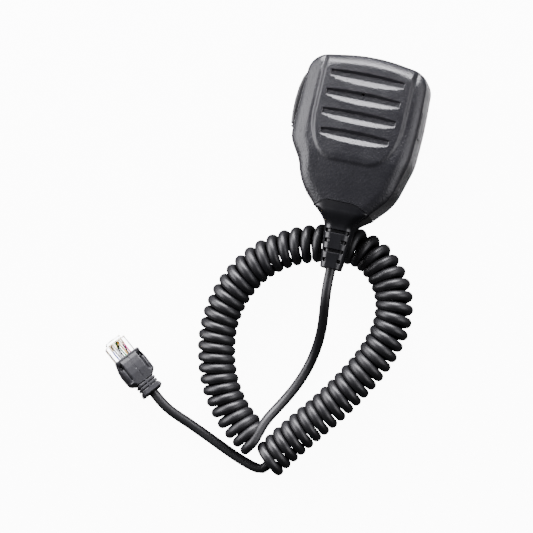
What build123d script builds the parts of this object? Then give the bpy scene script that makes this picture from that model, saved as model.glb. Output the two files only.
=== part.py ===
from build123d import *
import math
import os

# Hand microphone for a two-way radio, lying face up beside its own curly cord.
# Millimetres. +X to the microphone's right, +Y to its top end, +Z up, off the surface it lies on.
# The origin is under the middle of the microphone (case, push-to-talk bar, hanger button and strain
# relief), on that surface.

# ---- where the microphone lies: it is tipped about X because its hanger button and the cord lift it
TILT = 5.0
LIFT = 20.55
PLACE = Location((3.0, 16.4, LIFT), (-TILT, 0, 0))

# ---- case (microphone's own frame: Z = 0 in the middle of its thickness, Y = 0 across the case)
CASE_END = -41.5
NOSE_HALF = 14.2
CASE_CORNERS = (
    ((0, 37.6), 90),
    ((28.3, 33.0), 10),
    ((29.4, 6.0), 200),
    ((28.6, -12.0), 30),
    ((23.0, -31.9), 26),
    ((NOSE_HALF, CASE_END), 1.5),
    ((-NOSE_HALF, CASE_END), 1.5),
    ((-23.4, -31.9), 28),
    ((-26.9, -21.0), 22),
    ((-33.5, -10.6), 13),
    ((-32.2, 32.6), 11),
)
RIGHT_WALL_X = 29.2
FRONT_Z = 13.5
SEAM_Z = 1.0
BACK_Z = -12.5
WALL = 2.2
INNER_FRONT = FRONT_Z - WALL
INNER_BACK = BACK_Z + WALL

# ---- raised sound panel and its slots
PANEL_X = (-22.9, 21.6)
PANEL_Y = (-16.5, 33.4)
PANEL_Z = 15.0
PANEL_CORNER = 10.5
SLOT_MID_X = -0.9
SLOT_TOP_Y = 23.5
SLOT_PITCH = 9.8
SLOT_LENGTHS = (37.3, 37.3, 37.3, 35.0)
SLOT_HEIGHT = 6.4
SLOT_DEPTH = 2.6
PORT = (-1.3, 15.4)
PORT_R = 0.8

# ---- push-to-talk bar
PTT_Y = (-5.0, 23.2)
PTT_Z = (-5.7, 7.7)
PTT_GAP = 0.3
PTT_INNER_X = -30.0
PTT_PIVOT = (-30.9, 20.9)
PIN_R = 1.0
PIN_Z = (-8.5, 9.0)
LUG_R = 2.2
PIN_FIT = 0.04
SWITCH_Y = 0.0
SWITCH_Z = 1.0
PLUNGER_TIP_X = -27.2
PLUNGER_R = 1.5
SEAL_X = (-27.4, -26.6)
SEAL_Z = (INNER_BACK, 8.8)

# ---- hanger button on the back
HANGER_Y = 12.0
SHANK_R = 3.5
HEAD_R = 7.1
SHANK_LENGTH = 3.7
HEAD_THICK = 2.8
HEAD_CHAMFER = 0.5
HANGER_TOP = BACK_Z - SHANK_LENGTH - HEAD_THICK

# ---- circuit board and what stands on it
BOARD_Z = (-4.6, -3.0)
BOARD_X = (-25.4, 24.5)
BOARD_Y = (-20.0, 29.0)
CAPSULE_R = 4.85
CAPSULE_Z = (4.6, 11.0)
HOLDER_R = 7.0

# ---- case screws: (x, y), one boss each
CASE_SCREWS = ((-25.0, 27.0), (24.5, 27.0), (-19.0, -26.5), (19.0, -26.5))
BOARD_SCREWS = ((-12.0, 27.0), (12.0, 27.0), (-13.0, -17.0), (13.0, -17.0))
CLAMP_SCREWS = ((-6.0, -31.0), (6.0, -31.0))
CLAMP_Z = (-1.6, 3.6)
BOSS_R = 3.0
CASE_SCREW_R = 1.25
CASE_SCREW_HEAD = (2.4, 1.8)
SMALL_SCREW_R = 0.9

# ---- strain relief at the lower end
NECK_Y = -50.5
NECK_HALF = 7.25
TIP_Y = -70.0
TIP_HALF = 5.2
ARCH_Y = -36.5

# ---- cord: diameter, the coil's outer diameter, and the routes' corner points
CORD_D = 4.8
COIL_D = 18.6
TAIL_MIC = (
    (3.0, -53.33, 26.65),
    (3.0, -62.3, 27.43),
    (3.6, -73.0, 24.0),
    (3.3, -84.5, 12.5),
    (1.0, -97.5, 3.4),
    (-3.6, -111.0, 2.6),
    (-9.6, -123.5, 6.5),
    (-15.8, -134.5, 13.2),
    (-21.3, -141.0, 13.8),
)
COIL = (
    (-18.3, -145.2),
    (-27.6, -139.6),
    (-37.0, -130.8),
    (-44.3, -118.0),
    (-48.3, -104.0),
    (-49.6, -89.5),
    (-46.6, -74.8),
    (-39.6, -61.2),
    (-28.8, -51.2),
    (-15.3, -44.1),
    (0.0, -40.2),
    (14.3, -40.1),
    (26.8, -47.3),
    (35.2, -59.6),
    (37.2, -74.5),
    (32.0, -90.5),
    (24.3, -104.5),
    (14.4, -119.5),
    (3.2, -133.3),
    (-5.9, -146.6),
    (-11.2, -154.6),
)
TAIL_PLUG = (
    (-4.6, -159.0, 2.6),
    (-14.6, -158.7, 2.6),
    (-28.0, -154.8, 2.6),
    (-42.5, -149.4, 2.6),
    (-55.4, -144.0, 3.0),
    (-66.8, -139.4, 6.9),
    (-75.6, -132.4, 7.5),
)

# ---- plug: an 8-position modular plug in a moulded strain relief, rolled a little on its axis
PLUG_ROLL = 20.5
PLUG_TURN = 141.5
PLUG_LIP = (-93.2, -118.4)
PLUG_LIFT = 7.5
PLUG_W = 11.7
PLUG_H = 6.5
PLUG_NOSE = 11.0
PLUG_INSIDE = 10.4
PLUG_REAR = -22.5
WIRES = 8
WIRE_PITCH = 1.02


def solid_prism(face, low, high):
    """The face, drawn at Z = 0, extruded from low to high."""
    return Pos(0, 0, low) * extrude(face, high - low)


def block(x, y, z):
    """A box from three (low, high) pairs."""
    size = [high - low for low, high in (x, y, z)]
    middle = [(high + low) / 2 for low, high in (x, y, z)]
    return Pos(*middle) * Box(*size)


def post(x, y, z, radius):
    """An upright cylinder between two heights."""
    return Pos(x, y, (z[0] + z[1]) / 2) * Cylinder(radius, z[1] - z[0])


def rod(start, end, radius):
    """A cylinder from point to point."""
    axis = Vector(*end) - Vector(*start)
    plane = Plane(origin=start, z_dir=axis)
    return extrude(plane * Circle(radius), axis.length)


def case_plan(inset=0.0):
    """The case's outline from the front, with the fuller left side that houses the talk bar."""
    corners = [point for point, _ in CASE_CORNERS]
    radii = [radius for _, radius in CASE_CORNERS]
    plan = make_face(FilletPolyline(*corners, radius=radii, close=True))
    return offset(plan, -inset) if inset else plan


def arch():
    """The arched part of the case's lower end that the strain relief's head takes up."""
    corners = [(-NOSE_HALF, CASE_END), (-9.0, ARCH_Y), (7.2, ARCH_Y), (NOSE_HALF, CASE_END)]
    plan = make_face(Polyline(corners, close=True))
    return solid_prism(plan, BACK_Z - 5, PANEL_Z + 5)


def ptt_opening():
    """The window in the left wall, through both shells."""
    span_y = (PTT_Y[0] - PTT_GAP * 2, PTT_Y[1] + PTT_GAP)
    span_z = (PTT_Z[0] - PTT_GAP, PTT_Z[1] + PTT_GAP)
    return block((-38, -28), span_y, span_z)


def pin_seat(z):
    """A block inside the left wall that holds one end of the talk bar's pin."""
    return block((-31.5, -28.4), (18.5, 23.5), z)


def ptt_pin():
    return post(*PTT_PIVOT, PIN_Z, PIN_R)


def case_blank():
    """The whole outer form of one shell side, rounded at its outer edge."""
    front = solid_prism(case_plan(), SEAM_Z, FRONT_Z)
    front = fillet(front.faces().sort_by(Axis.Z)[-1].edges(), 3.5)
    back = solid_prism(case_plan(), BACK_Z, SEAM_Z)
    back = fillet(back.faces().sort_by(Axis.Z)[0].edges(), 2.5)
    return front, back


def sound_panel():
    """The raised panel on the front, with rounded lower corners."""
    left, right = PANEL_X
    low, high = PANEL_Y
    outline = [
        Line((left, high - 3.5), (left, low + PANEL_CORNER)),
        RadiusArc((left, low + PANEL_CORNER), (left + PANEL_CORNER, low), -PANEL_CORNER),
        Line((left + PANEL_CORNER, low), (right - PANEL_CORNER, low)),
        RadiusArc((right - PANEL_CORNER, low), (right, low + PANEL_CORNER), -PANEL_CORNER),
        Line((right, low + PANEL_CORNER), (right, high - 3.5)),
        ThreePointArc((right, high - 3.5), (0, high), (left, high - 3.5)),
    ]
    panel = solid_prism(make_face(outline), INNER_FRONT, PANEL_Z)
    return fillet(panel.faces().sort_by(Axis.Z)[-1].edges(), 0.9)


def sound_slots():
    """Four long shallow slots, one above another."""
    slots = []
    for row, length in enumerate(SLOT_LENGTHS):
        plan = Pos(SLOT_MID_X, SLOT_TOP_Y - row * SLOT_PITCH) * RectangleRounded(length, SLOT_HEIGHT, 1.2)
        slots.append(solid_prism(plan, PANEL_Z - SLOT_DEPTH, PANEL_Z + 1))
    return slots


def blank_cover_box(proud):
    return block((26.4, RIGHT_WALL_X + proud), (0.6, 13.9), (2.2, 8.7))


def front_case():
    shell = case_blank()[0] - solid_prism(case_plan(WALL), SEAM_Z, INNER_FRONT)
    shell += sound_panel()
    shell -= sound_slots()
    shell += [post(x, y, (SEAM_Z, INNER_FRONT + 0.5), BOSS_R) for x, y in CASE_SCREWS]
    shell -= [post(x, y, (SEAM_Z, 9.0), CASE_SCREW_R) for x, y in CASE_SCREWS]
    shell += post(*PORT, (6.0, INNER_FRONT + 0.5), HOLDER_R + 1.2)
    shell -= post(*PORT, (6.0, INNER_FRONT), HOLDER_R)
    shell -= post(*PORT, (INNER_FRONT - 1, PANEL_Z), PORT_R)
    shell += pin_seat((PTT_Z[1] + PTT_GAP, INNER_FRONT + 0.5))
    shell -= [ptt_opening(), ptt_pin(), arch(), blank_cover_box(1)]
    return shell


def seal_ring():
    """The ring that the sealing cord fills, in the rear shell's rim."""
    return solid_prism(case_plan(0.7) - case_plan(1.5), SEAM_Z - 0.8, SEAM_Z)


def rear_case():
    shell = case_blank()[1] - solid_prism(case_plan(WALL), INNER_BACK, SEAM_Z)
    shell += [post(x, y, (INNER_BACK - 0.5, SEAM_Z), BOSS_R) for x, y in CASE_SCREWS]
    shell += [post(x, y, (INNER_BACK - 0.5, BOARD_Z[0]), 2.4) for x, y in BOARD_SCREWS]
    shell += [post(x, y, (INNER_BACK - 0.5, CLAMP_Z[0]), 2.2) for x, y in CLAMP_SCREWS]
    shell += block((-3, 3), (-33.5, -28.5), (INNER_BACK - 0.5, -CORD_D / 2))
    shell += pin_seat((INNER_BACK - 0.5, PTT_Z[0] - PTT_GAP))
    for x, y in CASE_SCREWS:
        shell -= post(x, y, (BACK_Z - 1, SEAM_Z), CASE_SCREW_R + 0.2)
        shell -= post(x, y, (BACK_Z - 1, BACK_Z + CASE_SCREW_HEAD[1]), CASE_SCREW_HEAD[0] + 0.2)
    shell -= [post(x, y, (-9.5, BOARD_Z[0]), SMALL_SCREW_R) for x, y in BOARD_SCREWS]
    shell -= [post(x, y, (-8.5, CLAMP_Z[0]), SMALL_SCREW_R) for x, y in CLAMP_SCREWS]
    shell -= post(0, HANGER_Y, (BACK_Z - 1, INNER_BACK + 1), 2.2)
    return shell - [seal_ring(), ptt_opening(), ptt_pin(), arch()]


def case_gasket():
    """Sealing cord in a groove of the rear shell's rim, cut off at the talk bar and the strain relief."""
    return seal_ring() - [ptt_opening(), arch()]


def screw(x, y, z_low, z_high, radius, head, head_below):
    """A pan-head screw: shank between two heights and a head with a cross recess at one end."""
    head_r, head_h = head
    if head_below:
        top = post(x, y, (z_low - head_h, z_low), head_r)
        recess_z = (z_low - head_h, z_low - head_h * 0.4)
    else:
        top = post(x, y, (z_high, z_high + head_h), head_r)
        recess_z = (z_high + head_h * 0.4, z_high + head_h)
    arm, width = head_r * 0.55, head_r * 0.14
    top -= block((x - arm, x + arm), (y - width, y + width), recess_z)
    top -= block((x - width, x + width), (y - arm, y + arm), recess_z)
    return top + post(x, y, (z_low, z_high), radius)


def case_screws():
    seat = BACK_Z + CASE_SCREW_HEAD[1]
    return [screw(x, y, seat, 8.6, CASE_SCREW_R, CASE_SCREW_HEAD, True) for x, y in CASE_SCREWS]


def board_screws():
    return [screw(x, y, -9.2, BOARD_Z[1], SMALL_SCREW_R, (1.8, 1.2), False) for x, y in BOARD_SCREWS]


def clamp_screws():
    return [screw(x, y, -8.2, CLAMP_Z[1], SMALL_SCREW_R, (1.8, 1.2), False) for x, y in CLAMP_SCREWS]


def ptt_bar():
    """The talk bar: bowed outer face, a lug round the pivot pin and a rib that meets the switch."""
    low, high = PTT_Y
    outline = [
        Line((PTT_INNER_X, high), (PTT_INNER_X, low)),
        Line((PTT_INNER_X, low), (-34.7, low)),
        ThreePointArc((-34.7, low), (-35.6, 8.5), (-33.6, 22.0)),
        Line((-33.6, 22.0), (-32.6, high)),
        Line((-32.6, high), (PTT_INNER_X, high)),
    ]
    bar = solid_prism(make_face(outline), *PTT_Z)
    outer = [edge for edge in bar.edges() if edge.center().X < -34.9 and edge.length > 20]
    bar = fillet(outer, 1.2)
    bar += post(*PTT_PIVOT, PTT_Z, LUG_R)
    bar -= post(*PTT_PIVOT, PTT_Z, PIN_R + PIN_FIT)
    rib_x = (PTT_INNER_X - 0.5, PLUNGER_TIP_X - PTT_GAP)
    bar += block(rib_x, (SWITCH_Y - 1.5, SWITCH_Y + 1.5), (SWITCH_Z - 1.5, SWITCH_Z + 1.5))
    return bar


def ptt_seal():
    """Rubber curtain behind the talk bar, with a hole for the bar's rib."""
    sheet = block(SEAL_X, (-7, 17.5), SEAL_Z)
    return sheet - rod((SEAL_X[0], SWITCH_Y, SWITCH_Z), (SEAL_X[1], SWITCH_Y, SWITCH_Z), 3.2)


def ptt_plunger():
    return rod((PLUNGER_TIP_X, SWITCH_Y, SWITCH_Z), (-21.0, SWITCH_Y, SWITCH_Z), PLUNGER_R)


def ptt_switch():
    body = block((-24.4, -16.5), (-4, 4), (BOARD_Z[1], 5.2))
    return body - rod((-24.4, SWITCH_Y, SWITCH_Z), (-19.0, SWITCH_Y, SWITCH_Z), PLUNGER_R + PIN_FIT)


def hanger_button():
    """Spool-shaped button that drops into a hang-up clip's slot."""
    neck_z = BACK_Z - SHANK_LENGTH
    head = post(0, HANGER_Y, (HANGER_TOP, neck_z), HEAD_R)
    head = chamfer(head.edges().filter_by(GeomType.CIRCLE), HEAD_CHAMFER)
    spool = head + post(0, HANGER_Y, (neck_z, BACK_Z), SHANK_R)
    cone = Pos(0, HANGER_Y, HANGER_TOP + 1.0) * Cone(3.8, 2.0, 2.0)
    return spool - cone - post(0, HANGER_Y, (HANGER_TOP, BACK_Z), 2.0)


def hanger_screw():
    """Countersunk screw through the button and the rear shell."""
    body = Pos(0, HANGER_Y, HANGER_TOP + 1.0) * Cone(3.8, 2.0, 2.0)
    body += post(0, HANGER_Y, (HANGER_TOP + 2.0, -5.8), 2.0)
    slot_z = (HANGER_TOP, HANGER_TOP + 0.9)
    body -= block((-2.2, 2.2), (HANGER_Y - 0.45, HANGER_Y + 0.45), slot_z)
    body -= block((-0.45, 0.45), (HANGER_Y - 2.2, HANGER_Y + 2.2), slot_z)
    return body


def hanger_washer():
    return post(0, HANGER_Y, (INNER_BACK, INNER_BACK + 0.8), 4.5) - post(0, HANGER_Y, (INNER_BACK, -9.0), 2.2)


def hanger_nut():
    plan = RegularPolygon(3.5, 6, major_radius=False) - Circle(2.0)
    return solid_prism(Pos(0, HANGER_Y) * plan, INNER_BACK + 0.8, -6.4)


def circuit_board():
    """Board with corner cut-outs for the case bosses and holes for its own screws."""
    board = block(BOARD_X, BOARD_Y, BOARD_Z)
    board -= [post(x, y, BOARD_Z, BOSS_R + 0.5) for x, y in CASE_SCREWS]
    return board - [post(x, y, BOARD_Z, SMALL_SCREW_R + 0.1) for x, y in BOARD_SCREWS]


def board_chip():
    """Eight-lead amplifier chip."""
    chip = block((4, 9), (-2, 2), (BOARD_Z[1] + 0.2, BOARD_Z[1] + 1.9))
    for row in range(4):
        y = -1.5 + row
        chip += block((3, 4), (y - 0.2, y + 0.2), (BOARD_Z[1], BOARD_Z[1] + 0.9))
        chip += block((9, 10), (y - 0.2, y + 0.2), (BOARD_Z[1], BOARD_Z[1] + 0.9))
    return chip


def board_capacitors():
    """Two radial capacitors."""
    return [post(x, -8.5, (BOARD_Z[1], BOARD_Z[1] + 5.5), 2.5) for x in (-6.5, 18.0)]


def board_resistors():
    """Surface-mount resistors in two rows."""
    rows = []
    for x in (13.0, 17.0, 21.0):
        for y in (2.0, 5.5, 9.0):
            rows.append(block((x - 1, x + 1), (y - 0.6, y + 0.6), (BOARD_Z[1], BOARD_Z[1] + 0.6)))
    return rows


def mic_capsule():
    return post(*PORT, CAPSULE_Z, CAPSULE_R)


def capsule_holder():
    """Rubber ring between the capsule and the front shell's collar."""
    return post(*PORT, (4.6, CAPSULE_Z[1]), HOLDER_R) - post(*PORT, (4.6, CAPSULE_Z[1]), CAPSULE_R)


def acoustic_cloth():
    return post(*PORT, (CAPSULE_Z[1], INNER_FRONT), HOLDER_R)


def capsule_leads():
    """Two wires from the capsule to the board."""
    x, y = PORT
    return [rod((x + s, y, BOARD_Z[1]), (x + s, y, CAPSULE_Z[0]), 0.4) for s in (-1.6, 1.6)]


def side_blank():
    """Blank cover in the right side wall."""
    return blank_cover_box(0.25)


def board_header():
    return block((-6.2, 6.2), (-16.4, -11.6), (BOARD_Z[1], 1.2))


def lead_connector():
    return block((-6.0, 6.0), (-16.2, -11.8), (1.2, 5.2))


def lead_wires():
    """Six leads that fan out from the cord's end to the board connector."""
    leads = []
    for i in range(6):
        turn = math.radians(60 * i + 30)
        start = (1.5 * math.cos(turn), -27.2, 1.5 * math.sin(turn))
        order = (5, 3, 1, 0, 2, 4)[i]
        leads.append(rod(start, (-4.5 + 1.8 * order, -16.5, 3.4), 0.5))
    return leads


def cord_clamp():
    """Saddle that holds the cord down inside the case."""
    bar = block((-8.5, 8.5), (-33.5, -28.5), CLAMP_Z)
    bar -= rod((0, -34, 0), (0, -28, 0), CORD_D / 2)
    return bar - [post(x, y, CLAMP_Z, SMALL_SCREW_R) for x, y in CLAMP_SCREWS]


def cord_entry():
    """The cord's last stretch, through the strain relief to inside the case."""
    return rod((0, TIP_Y, 0), (0, -27.5, 0), CORD_D / 2)


def relief_section(y, half_x, half_z, mid_z, corner):
    plane = Plane(origin=(0, y, mid_z), x_dir=(1, 0, 0), z_dir=(0, -1, 0))
    return plane * RectangleRounded(2 * half_x, 2 * half_z, corner)


def strain_relief():
    """Flared rubber sleeve: arched head let into the case, square-round neck, four rows of slits."""
    front, back = case_blank()
    head = (front + back) & arch()
    flare = loft(
        [
            relief_section(CASE_END, NOSE_HALF - 0.2, 12.6, 0.5, 5.5),
            relief_section(-44.4, 10.6, 10.4, 0.3, 5.2),
            relief_section(-47.2, 8.4, 8.3, 0.1, 4.8),
            relief_section(NECK_Y, NECK_HALF, NECK_HALF, 0, 4.5),
        ],
        ruled=True,
    )
    sleeve = loft(
        [
            relief_section(NECK_Y, NECK_HALF, NECK_HALF, 0, 4.5),
            relief_section(TIP_Y, TIP_HALF, TIP_HALF, 0, 4.0),
        ]
    )
    relief = head + flare + sleeve
    for row in range(4):
        y = -52.0 - row * 4.8
        half = NECK_HALF - (NECK_HALF - TIP_HALF) * (NECK_Y - y) / (NECK_Y - TIP_Y)
        for side in (-1, 1):
            outer = (side * (half - 1.2), side * (half + 1))
            if row % 2 == 0:
                relief -= block((1.2 - half, half - 1.2), (y - 0.6, y + 0.6), sorted(outer))
            else:
                relief -= block(sorted(outer), (y - 0.6, y + 0.6), (1.2 - half, half - 1.2))
    return relief - rod((0, TIP_Y - 1, 0), (0, ARCH_Y + 1, 0), CORD_D / 2)


def corner_radii(points):
    """One arc radius for each inner corner: 0.45 of the shorter run over the half turn's tangent."""
    steps = [points[i + 1] - points[i] for i in range(len(points) - 1)]
    radii = []
    for before, after in zip(steps, steps[1:]):
        half_turn = math.radians(before.get_angle(after) / 2)
        radii.append(0.45 * min(before.length, after.length) / math.tan(half_turn))
    return radii


def cord_tube(name, route, diameter):
    """A round tube along straight runs joined by tangent arcs."""
    points = [Vector(*p) for p in route]
    radii = corner_radii(points)
    path = FilletPolyline(*points, radius=radii)
    start = Plane(origin=path @ 0, z_dir=path % 0)
    tube = sweep(start * Circle(diameter / 2), path=path)
    expected = math.pi * diameter**2 / 4 * path.length
    print(name, "length", round(path.length, 1), "radii", [round(r, 1) for r in radii])
    print(name, "volume over section x length", round(tube.volume / expected, 4))
    return tube


def plug_place():
    return Location((*PLUG_LIP, PLUG_LIFT), (0, 0, PLUG_TURN)) * Location((0, 0, 0), (PLUG_ROLL, 0, 0))


def plug_wire_y(i):
    return (i - (WIRES - 1) / 2) * WIRE_PITCH


def plug_body():
    """Clear eight-position plug: nose steps, contact slots, and a wire channel open at the rear."""
    body = block((-PLUG_INSIDE, PLUG_NOSE), (-PLUG_W / 2, PLUG_W / 2), (-PLUG_H / 2, PLUG_H / 2))
    body -= block((PLUG_NOSE - 1.6, PLUG_NOSE + 1), (-4.6, 4.6), (1.8, 4))
    body -= block((-PLUG_INSIDE - 1, PLUG_NOSE - 1.4), (-4.4, 4.4), (-0.6, 0.5))
    for i in range(WIRES):
        y = plug_wire_y(i)
        body -= block((PLUG_NOSE - 5.2, PLUG_NOSE - 1.6), (y - 0.18, y + 0.18), (0.5, 4))
    return body


def plug_contacts():
    """Eight flat gold-plated contacts, each standing on its wire."""
    blades = []
    for i in range(WIRES):
        y = plug_wire_y(i)
        blades.append(block((PLUG_NOSE - 5.2, PLUG_NOSE - 1.6), (y - 0.18, y + 0.18), (0.5, 2.7)))
    return blades


def plug_wires():
    """Eight insulated wires lying side by side in the plug's channel."""
    wires = []
    for i in range(WIRES):
        y = plug_wire_y(i)
        wires.append(rod((-PLUG_INSIDE, y, -0.05), (PLUG_NOSE - 1.8, y, -0.05), 0.48))
    return wires


def plug_boot():
    """Moulded strain relief: flat lip, full body, ribbed neck and end collar."""
    body = block((-15.1, 0), (-7.9, 7.9), (-5.5, 5.5))
    body = fillet(body.edges().filter_by(Axis.X), 2.0)
    body = chamfer(body.faces().sort_by(Axis.X)[0].edges(), 1.8)
    neck = fillet(block((-20.6, -14.6), (-4.7, 4.7), (-4.4, 4.4)).edges().filter_by(Axis.X), 1.6)
    collar = fillet(block((PLUG_REAR, -20.6), (-5.2, 5.2), (-4.9, 4.9)).edges().filter_by(Axis.X), 1.8)
    boot = body + neck + collar
    for x in (-15.9, -17.7, -19.5):
        for side in (-1, 1):
            boot -= block((x - 0.4, x + 0.4), sorted((side * 0.7, side * 6)), (3.6, 5))
    boot -= block((-PLUG_INSIDE, 1), (-PLUG_W / 2, PLUG_W / 2), (-PLUG_H / 2, PLUG_H / 2))
    boot -= block((-7.5, 1), (-3.6, 3.6), (-6, -PLUG_H / 2))
    return boot - rod((PLUG_REAR - 1, 0, 0), (-PLUG_INSIDE, 0, 0), CORD_D / 2)


def plug_latch():
    """Springy tongue under the plug, hinged near its nose."""
    tongue = block((-3.6, 9.2), (-1.6, 1.6), (-0.6, 0.6)) + block((1.5, 5.6), (-3.0, 3.0), (-0.6, 0.6))
    return Pos(9.2, 0, -PLUG_H / 2 - 0.9) * Rot(0, -8, 0) * Pos(-9.2, 0, 0) * tongue


def plug_cord_end():
    """The cord's end inside the plug's strain relief."""
    return rod((PLUG_REAR, 0, 0), (-PLUG_INSIDE, 0, 0), CORD_D / 2)


def save(name, shape, place):
    """Writes one node, which may hold several separate solids."""
    solids = shape if isinstance(shape, list) else [shape]
    node = Compound(children=[place * s for solid in solids for s in solid.solids()])
    node.label = name
    export_step(node, f"parts/{name}.step")
    return node


MICROPHONE = {
    "front_case": front_case,
    "rear_case": rear_case,
    "case_gasket": case_gasket,
    "case_screws": case_screws,
    "side_blank_cover": side_blank,
    "ptt_bar": ptt_bar,
    "ptt_pivot_pin": ptt_pin,
    "ptt_seal": ptt_seal,
    "ptt_switch_plunger": ptt_plunger,
    "ptt_switch_body": ptt_switch,
    "hanger_button": hanger_button,
    "hanger_screw": hanger_screw,
    "hanger_washer": hanger_washer,
    "hanger_nut": hanger_nut,
    "circuit_board": circuit_board,
    "board_screws": board_screws,
    "amplifier_chip": board_chip,
    "board_capacitors": board_capacitors,
    "board_resistors": board_resistors,
    "mic_capsule": mic_capsule,
    "capsule_holder": capsule_holder,
    "acoustic_cloth": acoustic_cloth,
    "capsule_leads": capsule_leads,
    "board_header": board_header,
    "lead_connector": lead_connector,
    "lead_wires": lead_wires,
    "cord_clamp": cord_clamp,
    "clamp_screws": clamp_screws,
    "cord_entry": cord_entry,
    "strain_relief": strain_relief,
}
PLUG = {
    "plug_body": plug_body,
    "plug_contacts": plug_contacts,
    "plug_wires": plug_wires,
    "plug_boot": plug_boot,
    "plug_latch": plug_latch,
    "plug_cord_end": plug_cord_end,
}

os.makedirs("parts", exist_ok=True)
microphone = [save(name, make(), PLACE) for name, make in MICROPHONE.items()]
plug = [save(name, make(), plug_place()) for name, make in PLUG.items()]
save("cord_tail_mic", cord_tube("cord_tail_mic", TAIL_MIC, CORD_D), Location())
save("cord_tail_plug", cord_tube("cord_tail_plug", TAIL_PLUG, CORD_D), Location())
coil_route = [(x, y, COIL_D / 2) for x, y in COIL]
save("cord_coil", cord_tube("cord_coil", coil_route, COIL_D), Location())

box = Compound(children=microphone).bounding_box()
print("microphone box", box.min, box.max)
box = Compound(children=plug).bounding_box()
print("plug box", box.min, box.max)
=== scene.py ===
import math

import bmesh
import bpy
import numpy as np
from mathutils import Matrix, Vector
from mathutils.geometry import delaunay_2d_cdt


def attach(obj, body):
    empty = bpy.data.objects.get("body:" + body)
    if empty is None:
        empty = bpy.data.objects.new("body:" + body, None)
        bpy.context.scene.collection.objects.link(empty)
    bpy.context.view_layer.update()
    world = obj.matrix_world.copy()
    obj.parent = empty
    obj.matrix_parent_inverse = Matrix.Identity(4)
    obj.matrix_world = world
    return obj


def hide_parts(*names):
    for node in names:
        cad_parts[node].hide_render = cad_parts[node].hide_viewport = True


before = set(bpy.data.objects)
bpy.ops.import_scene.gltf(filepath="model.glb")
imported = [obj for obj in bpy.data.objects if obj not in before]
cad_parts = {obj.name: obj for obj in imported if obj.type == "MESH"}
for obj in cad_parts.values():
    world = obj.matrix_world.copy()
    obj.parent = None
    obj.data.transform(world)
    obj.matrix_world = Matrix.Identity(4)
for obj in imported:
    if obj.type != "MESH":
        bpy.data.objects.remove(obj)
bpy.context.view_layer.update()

# Hand microphone on a pale floor. Lengths are in millimetres and turned into metres at the last step.
MM = 0.001

CORD_D = 4.8

# ---- where the microphone lies: its own frame has Z = 0 in the middle of the case
TILT = math.radians(5.0)
MIC = Matrix.Translation((3.0, 16.4, 20.55)) @ Matrix.Rotation(-TILT, 4, "X")

# ---- camera: nearly overhead, leaning to the microphone's right and turned a little
CAMERA_TARGET = Vector((-33.34, -58.71, 0.0))
CAMERA_DISTANCE = 1300.0
CAMERA_LEAN = math.radians(10.0)
CAMERA_TURN = math.radians(12.0)
VIEW_WIDTH = 269.165


def make_camera():
    lean, turn = CAMERA_LEAN, CAMERA_TURN
    back = Vector((math.sin(lean), 0, math.cos(lean)))
    level = Vector((math.cos(lean), 0, -math.sin(lean)))
    north = Vector((0, 1, 0))
    right = level * math.cos(turn) + north * math.sin(turn)
    up = north * math.cos(turn) - level * math.sin(turn)
    data = bpy.data.cameras.new("camera")
    data.sensor_width = 36.0
    data.lens = data.sensor_width * CAMERA_DISTANCE / VIEW_WIDTH
    data.clip_start, data.clip_end = 0.05, 20.0
    camera = bpy.data.objects.new("camera", data)
    basis = Matrix((right, up, back)).transposed().to_4x4()
    camera.matrix_world = Matrix.Translation((CAMERA_TARGET + back * CAMERA_DISTANCE) * MM) @ basis
    bpy.context.collection.objects.link(camera)
    bpy.context.scene.camera = camera


# ---- materials
def new_material(name):
    material = bpy.data.materials.new(name)
    material.use_nodes = True
    nodes = material.node_tree.nodes
    return material, nodes, material.node_tree.links, nodes["Principled BSDF"]


def noise_node(nodes, links, scale, detail):
    """A noise texture in object coordinates; scale is in features per metre."""
    place = nodes.new("ShaderNodeTexCoord")
    texture = nodes.new("ShaderNodeTexNoise")
    texture.inputs["Scale"].default_value = scale
    texture.inputs["Detail"].default_value = detail
    links.new(place.outputs["Object"], texture.inputs["Vector"])
    return texture


def spread(nodes, links, source, low, high):
    """The source's 0.3 to 0.7 mapped to low to high."""
    remap = nodes.new("ShaderNodeMapRange")
    remap.inputs["From Min"].default_value = 0.3
    remap.inputs["From Max"].default_value = 0.7
    remap.inputs["To Min"].default_value = low
    remap.inputs["To Max"].default_value = high
    links.new(source, remap.inputs["Value"])
    return remap.outputs["Result"]


def add_bump(nodes, links, shader, height, strength, distance):
    """Bump from a height, as deep as distance, in metres."""
    bump = nodes.new("ShaderNodeBump")
    bump.inputs["Strength"].default_value = strength
    bump.inputs["Distance"].default_value = distance
    links.new(height, bump.inputs["Height"])
    links.new(bump.outputs["Normal"], shader.inputs["Normal"])


def moulded(name, colour, roughness, grain=1500, depth=0.00004, vary=0.2, sheen=0.0):
    """Moulded plastic or rubber: fine grain in the bump and the colour, slow variation in roughness."""
    material, nodes, links, shader = new_material(name)
    cloud = noise_node(nodes, links, 60.0, 4.0)
    speck = noise_node(nodes, links, grain, 1.0)
    mix = nodes.new("ShaderNodeMix")
    mix.data_type = "RGBA"
    mix.inputs["A"].default_value = (*(c * (1 - vary) for c in colour), 1)
    mix.inputs["B"].default_value = (*(c * (1 + vary) for c in colour), 1)
    links.new(spread(nodes, links, speck.outputs["Fac"], 0.0, 1.0), mix.inputs["Factor"])
    links.new(mix.outputs["Result"], shader.inputs["Base Color"])
    rough = spread(nodes, links, cloud.outputs["Fac"], roughness - 0.05, roughness + 0.05)
    links.new(rough, shader.inputs["Roughness"])
    shader.inputs["Sheen Weight"].default_value = sheen
    shader.inputs["Sheen Roughness"].default_value = 0.35
    add_bump(nodes, links, shader, speck.outputs["Fac"], 0.6, depth)
    return material


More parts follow.
